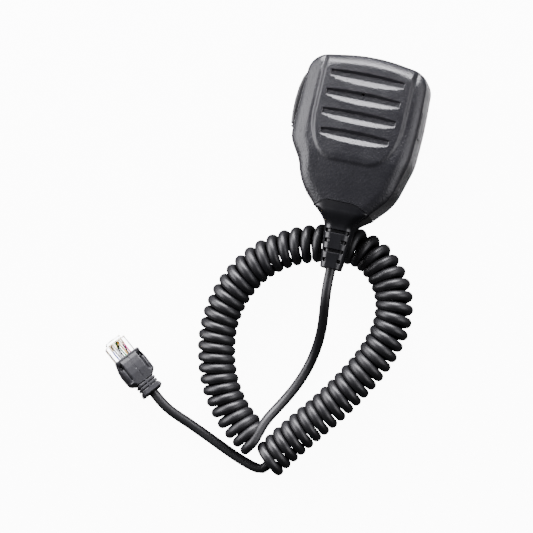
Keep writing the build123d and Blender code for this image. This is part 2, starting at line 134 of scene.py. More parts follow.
def metal(name, colour, roughness):
    """Metal with fine scratches and uneven polish."""
    material, nodes, links, shader = new_material(name)
    shader.inputs["Base Color"].default_value = (*colour, 1)
    shader.inputs["Metallic"].default_value = 1.0
    cloud = noise_node(nodes, links, 900, 6.0)
    rough = spread(nodes, links, cloud.outputs["Fac"], roughness * 0.7, roughness * 1.3)
    links.new(rough, shader.inputs["Roughness"])
    add_bump(nodes, links, shader, cloud.outputs["Fac"], 0.3, 0.00002)
    return material


def clear_plastic(name):
    """Clear polycarbonate with faint flow marks."""
    material, nodes, links, shader = new_material(name)
    shader.inputs["Base Color"].default_value = (0.93, 0.94, 0.95, 1)
    shader.inputs["Transmission Weight"].default_value = 1.0
    shader.inputs["IOR"].default_value = 1.5
    cloud = noise_node(nodes, links, 300, 3.0)
    links.new(spread(nodes, links, cloud.outputs["Fac"], 0.03, 0.12), shader.inputs["Roughness"])
    add_bump(nodes, links, shader, cloud.outputs["Fac"], 0.15, 0.00005)
    return material


def wire_colours(name):
    """Plain insulation for eight wires side by side, each wire its own colour."""
    material, nodes, links, shader = new_material(name)
    place = nodes.new("ShaderNodeTexCoord")
    turn = nodes.new("ShaderNodeMapping")
    turn.vector_type = "TEXTURE"
    turn.inputs["Location"].default_value = PLUG.translation * MM
    turn.inputs["Rotation"].default_value = PLUG.to_euler()
    links.new(place.outputs["Object"], turn.inputs["Vector"])
    split = nodes.new("ShaderNodeSeparateXYZ")
    links.new(turn.outputs["Vector"], split.inputs["Vector"])
    across = nodes.new("ShaderNodeMapRange")
    across.inputs["From Min"].default_value = -WIRE_PITCH * len(WIRE_COLOURS) / 2 * MM
    across.inputs["From Max"].default_value = WIRE_PITCH * len(WIRE_COLOURS) / 2 * MM
    links.new(split.outputs["Y"], across.inputs["Value"])
    ramp = nodes.new("ShaderNodeValToRGB")
    ramp.color_ramp.interpolation = "CONSTANT"
    stops = ramp.color_ramp.elements
    while len(stops) < len(WIRE_COLOURS):
        stops.new(0.5)
    for i, colour in enumerate(WIRE_COLOURS):
        stops[i].position = i / len(WIRE_COLOURS)
        stops[i].color = (*colour, 1)
    links.new(across.outputs["Result"], ramp.inputs["Fac"])
    links.new(ramp.outputs["Color"], shader.inputs["Base Color"])
    cloud = noise_node(nodes, links, 900, 3.0)
    links.new(spread(nodes, links, cloud.outputs["Fac"], 0.3, 0.45), shader.inputs["Roughness"])
    return material


def woven(name):
    """Fine dark cloth."""
    material, nodes, links, shader = new_material(name)
    shader.inputs["Base Color"].default_value = (0.01, 0.01, 0.01, 1)
    shader.inputs["Roughness"].default_value = 0.85
    place = nodes.new("ShaderNodeTexCoord")
    weave = nodes.new("ShaderNodeTexBrick")
    weave.inputs["Scale"].default_value = 2500.0
    links.new(place.outputs["Object"], weave.inputs["Vector"])
    add_bump(nodes, links, shader, weave.outputs["Fac"], 1.0, 0.0001)
    return material


# ---- the plug's place and its wires' colours, from its right side to its left
PLUG = Matrix.Translation((-93.2, -118.4, 7.5)) @ Matrix.Rotation(math.radians(141.5), 4, "Z")
PLUG = PLUG @ Matrix.Rotation(math.radians(20.5), 4, "X")
WIRE_PITCH = 1.02
WIRE_R = 0.44
WIRE_COLOURS = (
    (0.62, 0.04, 0.25),
    (0.05, 0.03, 0.03),
    (0.75, 0.45, 0.12),
    (0.05, 0.25, 0.08),
    (0.12, 0.12, 0.13),
    (0.75, 0.75, 0.75),
    (0.3, 0.3, 0.34),
    (0.08, 0.08, 0.45),
)

LOOKS = {
    "case_plastic": moulded(
        "case_grain", (0.005, 0.005, 0.0068), 0.33, depth=0.0003, vary=0.3, sheen=0.35
    ),
    "ptt_plastic": moulded("bar_grain", (0.004, 0.004, 0.0045), 0.36),
    "relief_rubber": moulded("relief_satin", (0.0035, 0.0035, 0.0045), 0.3, depth=0.00001),
    "cord_jacket": moulded("jacket_satin", (0.007, 0.007, 0.008), 0.43, grain=2600, depth=0.000008),
    "plug_boot_plastic": moulded("boot_satin", (0.017, 0.017, 0.02), 0.4, depth=0.00002),
    "seal_rubber": moulded("seal_matt", (0.01, 0.01, 0.01), 0.7),
    "screw_steel": metal("screw_zinc", (0.42, 0.42, 0.44), 0.3),
    "pin_steel": metal("pin_bright", (0.4, 0.4, 0.42), 0.2),
    "switch_nylon": moulded("switch_matt", (0.03, 0.03, 0.03), 0.5),
    "button_plastic": moulded("button_satin", (0.008, 0.008, 0.009), 0.3, depth=0.00001),
    "board_laminate": moulded("board_resist", (0.01, 0.09, 0.035), 0.3, depth=0.00001, vary=0.1),
    "chip_epoxy": moulded("epoxy_matt", (0.012, 0.012, 0.012), 0.6),
    "capacitor_can": metal("can_sleeved", (0.4, 0.41, 0.45), 0.35),
    "capsule_can": metal("can_spun", (0.6, 0.6, 0.62), 0.25),
    "acoustic_cloth": woven("cloth_woven"),
    "wire_copper": metal("wire_tinned", (0.6, 0.5, 0.42), 0.3),
    "connector_nylon": moulded("nylon_natural", (0.7, 0.68, 0.62), 0.45, depth=0.00001, vary=0.04),
    "lead_pvc": moulded("lead_insulation", (0.3, 0.3, 0.31), 0.35, depth=0.00001, vary=0.1),
    "clamp_plastic": moulded("clamp_matt", (0.03, 0.03, 0.03), 0.5),
    "plug_clear": clear_plastic("polycarbonate"),
    "contact_gold": metal("gold_flash", (0.85, 0.62, 0.25), 0.25),
    "wire_colours": wire_colours("wire_insulation"),
}


def dress_nodes():
    """Materials, by slot, for the parts that show as they are."""
    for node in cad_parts.values():
        for slot in node.material_slots:
            slot.material = LOOKS[slot.material.name.split(".")[0]]


# ---- plane shapes
def rounded(corners, gap, closed=True):
    """Points about gap apart along a polygon whose corners, ((x, y), radius), are arcs."""
    count = len(corners)
    points = []
    for i, (corner, radius) in enumerate(corners):
        here = Vector(corner)
        if not closed and i in (0, count - 1):
            points.append(here)
            continue
        before = (Vector(corners[i - 1][0]) - here).normalized()
        after = (Vector(corners[(i + 1) % count][0]) - here).normalized()
        half = before.angle(after) / 2
        centre = here + (before + after).normalized() * radius / math.sin(half)
        start = here + before * radius / math.tan(half) - centre
        turn = (math.pi - 2 * half) * (1 if before.cross(after) < 0 else -1)
        steps = max(2, math.ceil(abs(turn) * radius / gap))
        for k in range(steps + 1):
            points.append(centre + Matrix.Rotation(turn * k / steps, 2) @ start)
    if closed:
        points.append(points[0])
    return even(np.array(points), gap)


def even(points, gap):
    """The same polyline with evenly spaced points."""
    steps = np.linalg.norm(np.diff(points, axis=0), axis=1)
    along = np.concatenate(([0], np.cumsum(steps)))
    places = np.linspace(0, along[-1], max(2, round(along[-1] / gap)) + 1)
    return np.column_stack([np.interp(places, along, points[:, k]) for k in range(points.shape[1])])


# ---- mesh building: pieces are gathered as grids and triangles in the microphone's frame, then welded
class Skin:
    """The faces of one piece, gathered part by part in millimetres."""

    def __init__(self):
        self.points = []
        self.faces = []

    def add(self, points):
        first = len(self.points)
        self.points.extend(tuple(float(c) for c in p) for p in points)
        return first

    def grid(self, rows, around=False, skip=None):
        """Quads between rows of points; around joins each row's end to its start."""
        first = self.add([p for row in rows for p in row])
        width = len(rows[0])
        for j in range(len(rows) - 1):
            for i in range(width if around else width - 1):
                if skip is not None and skip(i, j):
                    continue
                k = (i + 1) % width
                a, b = first + j * width, first + (j + 1) * width
                self.faces.append((a + i, a + k, b + k, b + i))

    def fan(self, row):
        """A cap over a closed row of points, from its middle."""
        middle = np.mean([list(p) for p in row], axis=0)
        first = self.add([*row, middle])
        count = len(row)
        for i in range(count):
            self.faces.append((first + i, first + (i + 1) % count, first + count))

    def tube(self, rows):
        """Quads round closed rows, capped at both ends."""
        self.grid(rows, around=True)
        self.fan(rows[0])
        self.fan(rows[-1])

    def triangles(self, points, faces):
        first = self.add(points)
        self.faces.extend(tuple(first + i for i in face) for face in faces)

    def build(self, name, material, place=MIC, crease=35.0):
        mesh = bpy.data.meshes.new(name)
        mesh.from_pydata(self.points, [], self.faces)
        mesh.transform(Matrix.Scale(MM, 4) @ place)
        work = bmesh.new()
        work.from_mesh(mesh)
        bmesh.ops.remove_doubles(work, verts=work.verts, dist=0.004 * MM)
        bmesh.ops.recalc_face_normals(work, faces=work.faces)
        work.to_mesh(mesh)
        work.free()
        mesh.polygons.foreach_set("use_smooth", [True] * len(mesh.polygons))
        mesh.set_sharp_from_angle(angle=math.radians(crease))
        mesh.materials.append(material)
        piece = bpy.data.objects.new(name, mesh)
        bpy.context.collection.objects.link(piece)
        return piece


def inward(line):
    """Unit normals to the left of an open line of points."""
    way = np.gradient(line, axis=0)
    way /= np.linalg.norm(way, axis=1)[:, None]
    return np.column_stack([-way[:, 1], way[:, 0]])


def distance_to(points, line):
    """The distance from each point to a line of points."""
    a, b = line[:-1], line[1:]
    leg = b - a
    span = (leg**2).sum(1)
    result = np.empty(len(points))
    for start in range(0, len(points), 2000):
        p = points[start : start + 2000, None, :] - a[None]
        share = np.clip((p * leg).sum(2) / span, 0, 1)
        result[start : start + 2000] = np.sqrt(((p - share[..., None] * leg) ** 2).sum(2)).min(1)
    return result


def triangulate(border, inner_loops, loose):
    """Triangles inside a closed border, with the inner loops as edges and the loose points inside."""
    loops = [border, *inner_loops]
    points, edges = [], []
    for loop in loops:
        first = len(points)
        points.extend(map(tuple, loop))
        edges.extend((first + i, first + (i + 1) % len(loop)) for i in range(len(loop)))
    points.extend(map(tuple, loose))
    flat, _, faces, *_ = delaunay_2d_cdt([Vector(p) for p in points], edges, [], 1, 1e-7)
    return np.array(flat), faces


# ---- the case: outline seen from the front, anticlockwise from the strain relief's right corner
NOSE = (14.2, -41.5)
CASE_CORNERS = (
    (NOSE, 0),
    ((23.0, -31.9), 26),
    ((28.6, -12.0), 30),
    ((29.4, 6.0), 200),
    ((28.3, 33.0), 10),
    ((0, 37.6), 90),
    ((-32.2, 32.6), 11),
    ((-33.5, -10.6), 13),
    ((-26.9, -21.0), 22),
    ((-23.4, -31.9), 28),
    ((-NOSE[0], NOSE[1]), 0),
)
# the arch in the case's lower edge that the strain relief's head sits in
ARCH = (((-NOSE[0], NOSE[1]), 0), ((-9.0, -37.5), 5), ((6.6, -37.5), 12), (NOSE, 0))
SEAM_Z = 1.0
WALL = 2.2
WALL_TOP = 8.0
CEILING_Z = 9.4
DRAFT = 0.55
RIM = 3.2
# (distance in, height) down the outside of the wall
WALL_ROWS = ((0.4, 6.2), (0.25, 4.4), (0.1, 2.6), (0.0, 1.5), (0.08, 1.2), (0.3, SEAM_Z))
# the opening for the talk bar
WINDOW_X = -28
WINDOW_Y = (-5.6, 23.5)
CASE_LINE = rounded(CASE_CORNERS, 0.45, closed=False)
ARCH_LINE = rounded(ARCH, 0.45, closed=False)

# ---- the front's relief: crowned face, raised panel, grooves beside it, rounded shoulders
PANEL_MID = -0.8
PANEL_HALF = 22.3
PANEL_FLAT = 8.5
PANEL_BEND_Y = 4.0
PANEL_LOW = -18.3
PANEL_TOP = 15.0
SHOULDER_TOP = 13.7
CROWN_Y = -12.0
CROWN_ALONG = 1500
CROWN_ACROSS = 700
PANEL_STEP = (-0.9, 1.1)
GROOVE_OUT = 1.3
GROOVE_WIDTH = 0.8
FALL_Y = -15
FALL_SLOPE = 0.13
VALLEY_DEPTH = 0.24
VALLEY_IN = 4.4
VALLEY_WIDTH = 1.1
SHOULDER_REACH = 5.8
SHOULDER_POWER = 2.0

SLOT_MID_X = -0.9
SLOT_TOP_Y = 23.6
SLOT_PITCH = 9.8
SLOT_LENGTHS = (37.4, 37.4, 37.2, 34.6)
SLOT_DEPTH = 1.4
SLOT_BELOW = 3.2
SLOT_ABOVE = 3.15
SLOT_BOW = 1.8
SLOT_WALL = 1.15
SLOT_END = 1.1
PORT = (-1.3, 16.1)
PORT_ROW = 1
PORT_SIZE = (1.0, 0.5)


def ease(x, low, high):
    t = np.clip((x - low) / (high - low), 0, 1)
    return t * t * (3 - 2 * t)


def panel_depth(x, y):
    """How far inside the panel's outline a point is; negative outside."""
    across = PANEL_HALF - PANEL_FLAT
    down = PANEL_BEND_Y - PANEL_LOW
    qx = np.maximum(np.abs(x - PANEL_MID) - PANEL_FLAT, 0) / across
    qy = np.maximum(PANEL_BEND_Y - y, 0) / down
    reach = np.hypot(qx, qy) + 1e-9
    slope = np.hypot(qx / across, qy / down) / reach + 1e-9
    return np.where(reach < 1e-6, 9.0, np.minimum((1 - reach) / slope, 9.0))


def front_height(x, y, edge):
    """Height of the front's surface, at a distance in from the case's edge."""
    crown = (y - CROWN_Y) ** 2 / CROWN_ALONG + x**2 / CROWN_ACROSS
    merge = 0.6 * ease(-y, -2, 19)
    depth = panel_depth(x, y)
    step = ease(depth, *PANEL_STEP)
    raised = 1 - (1 - step) * (1 - merge)
    side = 0.2 + 0.05 * (x < 0) + 0.7 * ease(y, 25, 32)
    groove = np.exp(-(((depth + GROOVE_OUT) / GROOVE_WIDTH) ** 2)) * side * (1 - ease(-y, 0, 12))
    fall = FALL_SLOPE * np.maximum(FALL_Y - y, 0)
    top = SHOULDER_TOP + (PANEL_TOP - SHOULDER_TOP) * raised - groove - crown - fall
    left = ease(-x, 15, 24) * ease(y, -28, -8) * (1 - ease(y, 25, 33))
    valley = np.exp(-(((edge - VALLEY_IN) / VALLEY_WIDTH) ** 2))
    top = top - VALLEY_DEPTH * left * valley * ease(29 - y, 0, 6)
    reach = SHOULDER_REACH + 2.4 * left + 2.2 * ease(y, 29, 34) + 1.3 * ease(x, 12, 20)
    power = SHOULDER_POWER - 0.45 * left
    t = np.clip(edge / reach, 0, 1)
    return WALL_TOP + (top - WALL_TOP) * (1 - (1 - t) ** power) ** (1 / power)


def slot_span(x, row):
    """The slot's lower and upper edge, and how far along its half-length x is."""
    u = np.abs(x - SLOT_MID_X) / (SLOT_LENGTHS[row] / 2)
    middle = SLOT_TOP_Y - row * SLOT_PITCH
    return middle - SLOT_BELOW + SLOT_BOW * u**2.4, middle + SLOT_ABOVE - u**2, u


def slot_rim(row):
    x = SLOT_MID_X + np.linspace(-0.5, 0.5, 150) * SLOT_LENGTHS[row]
    low, high, _ = slot_span(x, row)
    outline = np.vstack([np.column_stack([x, low]), np.column_stack([x, high])[::-1]])
    return soften(outline, 0.75)


def slot_depth(x, y, row):
    """A slot's depth: a rounded lip below, a flat floor, a steep wall above and sloping ends."""
    low, high, u = slot_span(x, row)
    edge = SLOT_TOP_Y - row * SLOT_PITCH - 0.5
    lip = np.clip((y - low) / np.maximum(edge - low, 0.2), 0, 1)
    lip = np.where(y > edge, 1.0, 0.7 * lip + 0.3 * (1 - np.sqrt(np.maximum(1 - lip**2, 0))))
    wall = np.clip((high - y) / SLOT_WALL, 0, 1)
    end = np.clip((1 - u) * SLOT_LENGTHS[row] / 2 / SLOT_END, 0, 1)
    lip = lip * np.clip((edge - low) / 2.7, 0.2, 1) ** 0.6
    depth = SLOT_DEPTH * np.minimum(np.minimum(lip, wall), np.sqrt(1 - (1 - end) ** 2))
    if row == PORT_ROW:
        port = np.hypot((x - PORT[0]) / PORT_SIZE[0], (y - PORT[1]) / PORT_SIZE[1]) < 1
        depth = np.where(port, SLOT_DEPTH + 2.0, depth)
    return depth


def soften(loop, radius):
    """A closed loop, evenly spaced, with its sharp corners rounded off."""
    closed = even(np.vstack([loop, loop[:1]]), 0.3)[:-1]
    reach = max(1, round(radius / 0.3))
    weights = np.hanning(2 * reach + 3)[1:-1]
    weights /= weights.sum()
    wrapped = np.vstack([closed[-reach:], closed, closed[:reach]])
    return np.column_stack([np.convolve(wrapped[:, k], weights, "valid") for k in (0, 1)])


def grow(loop, distance):
    """A closed anticlockwise loop moved outward."""
    way = np.roll(loop, -1, axis=0) - np.roll(loop, 1, axis=0)
    way /= np.linalg.norm(way, axis=1)[:, None]
    return loop + np.column_stack([way[:, 1], -way[:, 0]]) * distance


def inside(points, loop):
    """Which points lie inside a closed loop."""
    result = np.zeros(len(points), bool)
    x, y = points[:, 0], points[:, 1]
    a, b = loop, np.roll(loop, -1, axis=0)
    for (ax, ay), (bx, by) in zip(a, b):
        if ay == by:
            continue
        crosses = (ay > y) != (by > y)
        result ^= crosses & (x < (bx - ax) * (y - ay) / (by - ay) + ax)
    return result


def loose_points(border, loops, gap):
    """A triangular lattice of points inside the border, clear of it and of the loops."""
    low, high = border.min(0), border.max(0)
    rise = gap * math.sqrt(3) / 2
    rows = np.arange(low[1], high[1], rise)
    points = [(x + (j % 2) * gap / 2, y) for j, y in enumerate(rows) for x in np.arange(low[0], high[0], gap)]
    points = np.array(points)
    points = points[inside(points, border)]
    for loop in (border, *loops):
        closed = np.vstack([loop, loop[:1]])
        points = points[distance_to(points, closed) > gap * 0.6]
    return points


def front_case():
    skin = Skin()
    normals = inward(CASE_LINE)
    line_x, line_y = CASE_LINE.T
    window = (line_x < WINDOW_X) & (line_y > WINDOW_Y[0]) & (line_y < WINDOW_Y[1])

    def ring(distance, z):
        flat = CASE_LINE + normals * distance
        return np.column_stack([flat, np.full(len(flat), z)])

    def top_ring(distance):
        flat = CASE_LINE + normals * distance
        z = front_height(flat[:, 0], flat[:, 1], np.full(len(flat), distance - DRAFT))
        return np.column_stack([flat, z])

    def in_window(i, _):
        return window[i] and window[i + 1]

    rim_steps = np.linspace(0, 1, 15) ** 1.8 * (RIM - DRAFT) + DRAFT
    upper = [top_ring(d) for d in rim_steps[::-1]]
    lower = [upper[-1]] + [ring(d, z) for d, z in WALL_ROWS]
    back = [ring(WALL, SEAM_Z)] + [ring(WALL, z) for z in (2.6, 4.4, 6.2, WALL_TOP)]
    skin.grid(upper)
    skin.grid(lower, skip=in_window)
    skin.grid([lower[-1], back[0]], skip=in_window)
    skin.grid(back, skip=in_window)
    skin.grid([upper[-1], back[-1]], skip=lambda i, j: not in_window(i, j))
    for i in (np.flatnonzero(window)[0], np.flatnonzero(window)[-1]):
        outer = [row[i] for row in lower]
        inner = [row[i] for row in [back[-1], *back[-2::-1], back[0], back[0]]]
        skin.grid([outer, inner])

    left_end = [row[-1, :2] for row in upper[1:]]
    right_end = [row[0, :2] for row in upper[:0:-1]]
    clear = distance_to(ARCH_LINE, CASE_LINE[[0, 1]]) > DRAFT
    clear &= distance_to(ARCH_LINE, CASE_LINE[[-2, -1]]) > DRAFT
    border = np.vstack([upper[0][:, :2], left_end, ARCH_LINE[clear], right_end])
    rims = [slot_rim(row) for row in range(len(SLOT_LENGTHS))]
    loops = [*rims, *(grow(rim, -0.12) for rim in rims)]
    fine = [loose_points(rim, [], 0.3) for rim in loops[len(rims) :]]
    coarse = loose_points(border, rims, 0.6)
    for rim in rims:
        coarse = coarse[~inside(coarse, rim)]
    flat, faces = triangulate(border, loops, np.vstack([coarse, *fine]))
    z = front_height(flat[:, 0], flat[:, 1], distance_to(flat, CASE_LINE) - DRAFT)
    for row, rim in enumerate(rims):
        within = inside(flat, grow(rim, -0.02))
        z[within] -= slot_depth(flat[within, 0], flat[within, 1], row) + 0.03
    skin.triangles(np.column_stack([flat, z]), faces)

    for i in (0, -1):
        outer = [row[i] for row in [*upper[-3:], *lower[1:]]]
        inner = [row[i] for row in [back[-1], back[-1], *back[::-1], back[0], back[0]]]
        skin.grid([outer, inner[: len(outer)]])
    bulkhead, under = ARCH_LINE[clear], inward(ARCH_LINE)[clear]
    z = front_height(bulkhead[:, 0], bulkhead[:, 1], distance_to(bulkhead, CASE_LINE) - DRAFT)
    rows = [np.column_stack([bulkhead + under * 0.2 * drop, z - drop]) for drop in (0, 0.15, 1.5, 4)]
    rows.append(np.column_stack([rows[-1][:, :2], np.full(len(bulkhead), SEAM_Z)]))
    skin.grid(rows)
    inner_border = np.vstack([back[-1][2:-2, :2], bulkhead[4:-4]])
    flat, faces = triangulate(inner_border, [], loose_points(inner_border, [], 2.0))
    skin.triangles(np.column_stack([flat, np.full(len(flat), CEILING_Z)]), faces)
    skin.grid([back[-1], np.column_stack([back[-1][:, :2], np.full(len(CASE_LINE), CEILING_Z)])])
    return skin.build("front_case_shell", LOOKS["case_plastic"])


# ---- the strain relief: head let into the case, flare, square-round neck with slits, tapering to the cord
NECK_Y = -50.5
TIP_Y = -70.0
NECK_HALF = 7.25
TIP_HALF = 5.2
SLIT_Y = (-52.0, -56.8, -61.6, -66.4)
SLIT_IN = 1.7
CASE_BACK = -12.5
HEAD_GAP = 0.25
HEAD_CORNER = 6.0
FLARE_Y = -41.5
FLARE_HALF = 14.05
SKIRT = 0.9
HEAD_END_Y = -41.3
FLARE_POWER = 1.8
NECK_CORNER = 0.62
# (distance from a slit's middle along the neck, share of its full depth)
SLIT_PROFILE = ((1.1, 0.0), (0.8, 0.25), (0.75, 1.0), (0.0, 1.0), (-0.6, 1.0), (-0.65, 0.3), (-1.1, 0.0))


def blend(y, pairs):
    """The value at y from (y, value) pairs given from the head down."""
    return float(np.interp(-y, [-p[0] for p in pairs], [p[1] for p in pairs]))


def arch_reach(y):
    """How far the head reaches left and right at y."""
    line = ARCH_LINE - inward(ARCH_LINE) * HEAD_GAP
    top = int(line[:, 1].argmax())
    left = np.interp(y, line[: top + 1, 1], line[: top + 1, 0])
    right = np.interp(y, line[top:, 1][::-1], line[top:, 0][::-1])
    return left, right


def ring(left, right, corner, top, back, y, fall=(0.0, 0.0)):
    """A closed cross-section; top and back give heights for x, and fall is how far the corners drop."""
    arc = np.linspace(0, math.pi / 2, 31)
    flat = np.linspace(left + corner, right - corner, 61)
    right_x, left_x = right - corner + corner * np.cos(arc), left + corner - corner * np.cos(arc)
    drop, lift = fall[0] * (1 - np.sin(arc)), fall[1] * (1 - np.sin(arc))
    upper = top(np.array([left, right])) - fall[0]
    lower = back(np.array([left, right])) + fall[1]
    sides = np.linspace(0, 1, 9)[1:-1]
    parts = [
        (flat, top(flat)),
        (right_x[::-1][1:], (top(right_x) - drop)[::-1][1:]),
        (np.full(7, right), upper[1] + (lower[1] - upper[1]) * sides),
        (right_x[:-1], (back(right_x) + lift)[:-1]),
        (flat[::-1], back(flat[::-1])),
        (left_x[::-1][1:], (back(left_x) + lift)[::-1][1:]),
        (np.full(7, left), lower[0] + (upper[0] - lower[0]) * sides),
        (left_x[:-1], (top(left_x) - drop)[:-1]),
    ]
    x = np.concatenate([part[0] for part in parts])
    z = np.concatenate([part[1] for part in parts])
    return np.column_stack([x, np.full(len(x), y), z])


def head_top(x, y):
    """The case's front surface, carried over the strain relief's head."""
    points = np.column_stack([x, np.full(len(x), y)])
    return front_height(x, points[:, 1], distance_to(points, CASE_LINE) - DRAFT)


def head_ring(y):
    left, right = arch_reach(y)
    corner = min(HEAD_CORNER, (right - left) / 3)
    return ring(left, right, corner, lambda x: head_top(x, y), lambda x: np.full(len(x), CASE_BACK), y)


def sleeve_ring(y):
    """Flare and neck: concave at the sides, easing down in front and behind."""
    t = float(np.clip((FLARE_Y - y) / (FLARE_Y - NECK_Y), 0, 1))
    neck = np.interp(-y, (-NECK_Y, -TIP_Y), (NECK_HALF, TIP_HALF))
    half = neck + (FLARE_HALF - neck) * (1 - t) ** FLARE_POWER
    settle = float(ease(t, 0, 1))
    corner = HEAD_CORNER + (neck * NECK_CORNER - HEAD_CORNER) * settle
    back = CASE_BACK + (-neck - CASE_BACK) * settle
    return ring(
        -half,
        half,
        corner,
        lambda x: head_top(x * NOSE[0] / half, FLARE_Y) * (1 - settle) + neck * settle,
        lambda x: np.full(len(x), back),
        y,
        (neck * NECK_CORNER * settle, corner * settle),
    )


def slit(points, row, share):
    """Sinks a row's slits in, front and back: one long one, or a short one near each side."""
    x, z = points[:, 0], points[:, 2]
    half = np.abs(x).max()
    cut = 1 - ease(np.abs(x), half - 1.35, half - 1.15)
    if row % 2:
        cut = cut * ease(np.abs(x), 2.9, 3.1)
    return np.column_stack([x, points[:, 1], z - np.sign(z) * SLIT_IN * share * cut])


def strain_relief():
    skin = Skin()
    rows = [head_ring(y) for y in np.linspace(ARCH_LINE[:, 1].max() - HEAD_GAP - 0.05, HEAD_END_Y, 16)]
    for row in rows:
        wall = (row[:, 2] < row[row[:, 0].argmax(), 2] - 0.1) & (row[:, 2] > SEAM_Z + 0.2)
        row[wall, 0] += np.sign(row[wall, 0]) * SKIRT
    stations = list(np.linspace(FLARE_Y, NECK_Y, 25))
    for row, y in enumerate(SLIT_Y):
        for offset, share in SLIT_PROFILE:
            stations.append((y + offset, row, share))
        stations.append(y - 2.4)
    stations += [-68.9, -69.5, -69.85]
    for station in stations:
        if isinstance(station, tuple):
            y, row, share = station
            rows.append(slit(sleeve_ring(y), row, share))
        else:
            rows.append(sleeve_ring(station))
    end = sleeve_ring(TIP_Y)
    for inset in (0.93, 0.86, 0.50):
        rows.append(np.column_stack([end[:, 0] * inset, end[:, 1], end[:, 2] * inset]))
    rows[-3][:, 1] += 0.05
    inner = rows[-1].copy()
    reach = np.hypot(inner[:, 0], inner[:, 2])
    scale = (CORD_D / 2 + 0.1) / reach
    rows[-1] = np.column_stack([inner[:, 0] * scale, inner[:, 1], inner[:, 2] * scale])
    rows.append(rows[-1] + [0, 2.0, 0])
    skin.tube(rows)
    return skin.build("strain_relief_sleeve", LOOKS["relief_rubber"], crease=40)


# ---- the push-to-talk bar
BAR_Y = (-4.9, 23.1)
BAR_Z = (-5.6, 7.6)
BAR_INNER = -30.0
BAR_ROUND = 0.9
BAR_BOW = ((-5.0, -34.4), (2.0, -35.1), (8.5, -35.2), (15.0, -34.7), (20.0, -33.6), (23.2, -32.2))


def bar_section(y, inset):
    """The bar's cross-section: inner edge, then round its outer face."""
    outer = np.interp(y, [p[0] for p in BAR_BOW], [p[1] for p in BAR_BOW])
    corners = (
        ((BAR_INNER - inset * 0.3, BAR_Z[0] + inset), 0.4),
        ((BAR_INNER - inset * 0.3, BAR_Z[1] - inset), 0.4),
        ((outer + inset, BAR_Z[1] - inset), 1.4),
        ((outer + inset, BAR_Z[0] + inset), 1.5),
    )
    loop = rounded(corners, 0.4)[:-1]
    return resample_loop(loop, y, 96)


def resample_loop(loop, y, count):
    closed = np.vstack([loop, loop[:1]])
    along = np.concatenate(([0], np.cumsum(np.linalg.norm(np.diff(closed, axis=0), axis=1))))
    places = np.linspace(0, along[-1], count, endpoint=False)
    x, z = (np.interp(places, along, closed[:, k]) for k in (0, 1))
    return np.column_stack([x, np.full(count, y), z])


def ptt_bar():
    low, high = BAR_Y
    rows = []
    for angle in np.linspace(0, math.pi / 2, 6):
        inset = BAR_ROUND * (1 - math.cos(math.pi / 2 - angle))
        rows.append(bar_section(low + BAR_ROUND * (1 - math.sin(angle)), inset))
    rows = rows[::-1]
    for y in np.linspace(low + 1.4, high - 1.4, 40):
        rows.append(bar_section(y, 0.0))
    for angle in np.linspace(0, math.pi / 2, 6):
        inset = BAR_ROUND * (1 - math.cos(angle))
        rows.append(bar_section(high - BAR_ROUND + BAR_ROUND * math.sin(angle), inset))
    skin = Skin()
    skin.tube(rows)
    return skin.build("ptt_bar_cover", LOOKS["ptt_plastic"], crease=40)


# ---- the side blank cover, standing a hair proud of the right wall
COVER_Y = (0.7, 13.8)
COVER_Z = (2.3, 8.4)
COVER_PROUD = 0.5
COVER_EDGE = 0.2
COVER_STEP = 0.25
COVER_ALONG = 40
COVER_UP = 18
# the part of the case's outline that runs up its right side
RIGHT_SIDE = slice(20, 90)
WALL_LEAN = ((1.5, 0.0), (2.6, 0.1), (4.4, 0.25), (6.2, 0.4), (8.0, 0.55), (8.7, 0.75))


def side_cover():
    wall = CASE_LINE[RIGHT_SIDE]
    wall_x = np.interp(np.linspace(*COVER_Y, COVER_ALONG), wall[:, 1], wall[:, 0])
    heights = np.linspace(*COVER_Z, COVER_UP)
    lean = np.interp(heights, *zip(*WALL_LEAN))
    rows = []
    for inset, out in ((0.0, -1.2), (0.0, COVER_PROUD - COVER_STEP), (COVER_EDGE, COVER_PROUD)):
        ys = np.linspace(COVER_Y[0] + inset, COVER_Y[1] - inset, COVER_ALONG)
        zs = np.linspace(COVER_Z[0] + inset, COVER_Z[1] - inset, COVER_UP)
        loop = [(wall_x[i] - lean[0] + out, ys[i], zs[0]) for i in range(COVER_ALONG)]
        loop += [(wall_x[-1] - lean[k] + out, ys[-1], zs[k]) for k in range(1, COVER_UP)]
        loop += [(wall_x[i] - lean[-1] + out, ys[i], zs[-1]) for i in range(COVER_ALONG - 2, -1, -1)]
        loop += [(wall_x[0] - lean[k] + out, ys[0], zs[k]) for k in range(COVER_UP - 2, 0, -1)]
        rows.append(loop)
    skin = Skin()
    skin.grid(rows, around=True)
    skin.fan(rows[0])
    columns = range(COVER_ALONG)
    skin.grid([[(wall_x[i] - lean[k] + COVER_PROUD, ys[i], zs[k]) for i in columns] for k in range(COVER_UP)])
    return skin.build("side_cover_plate", LOOKS["case_plastic"])


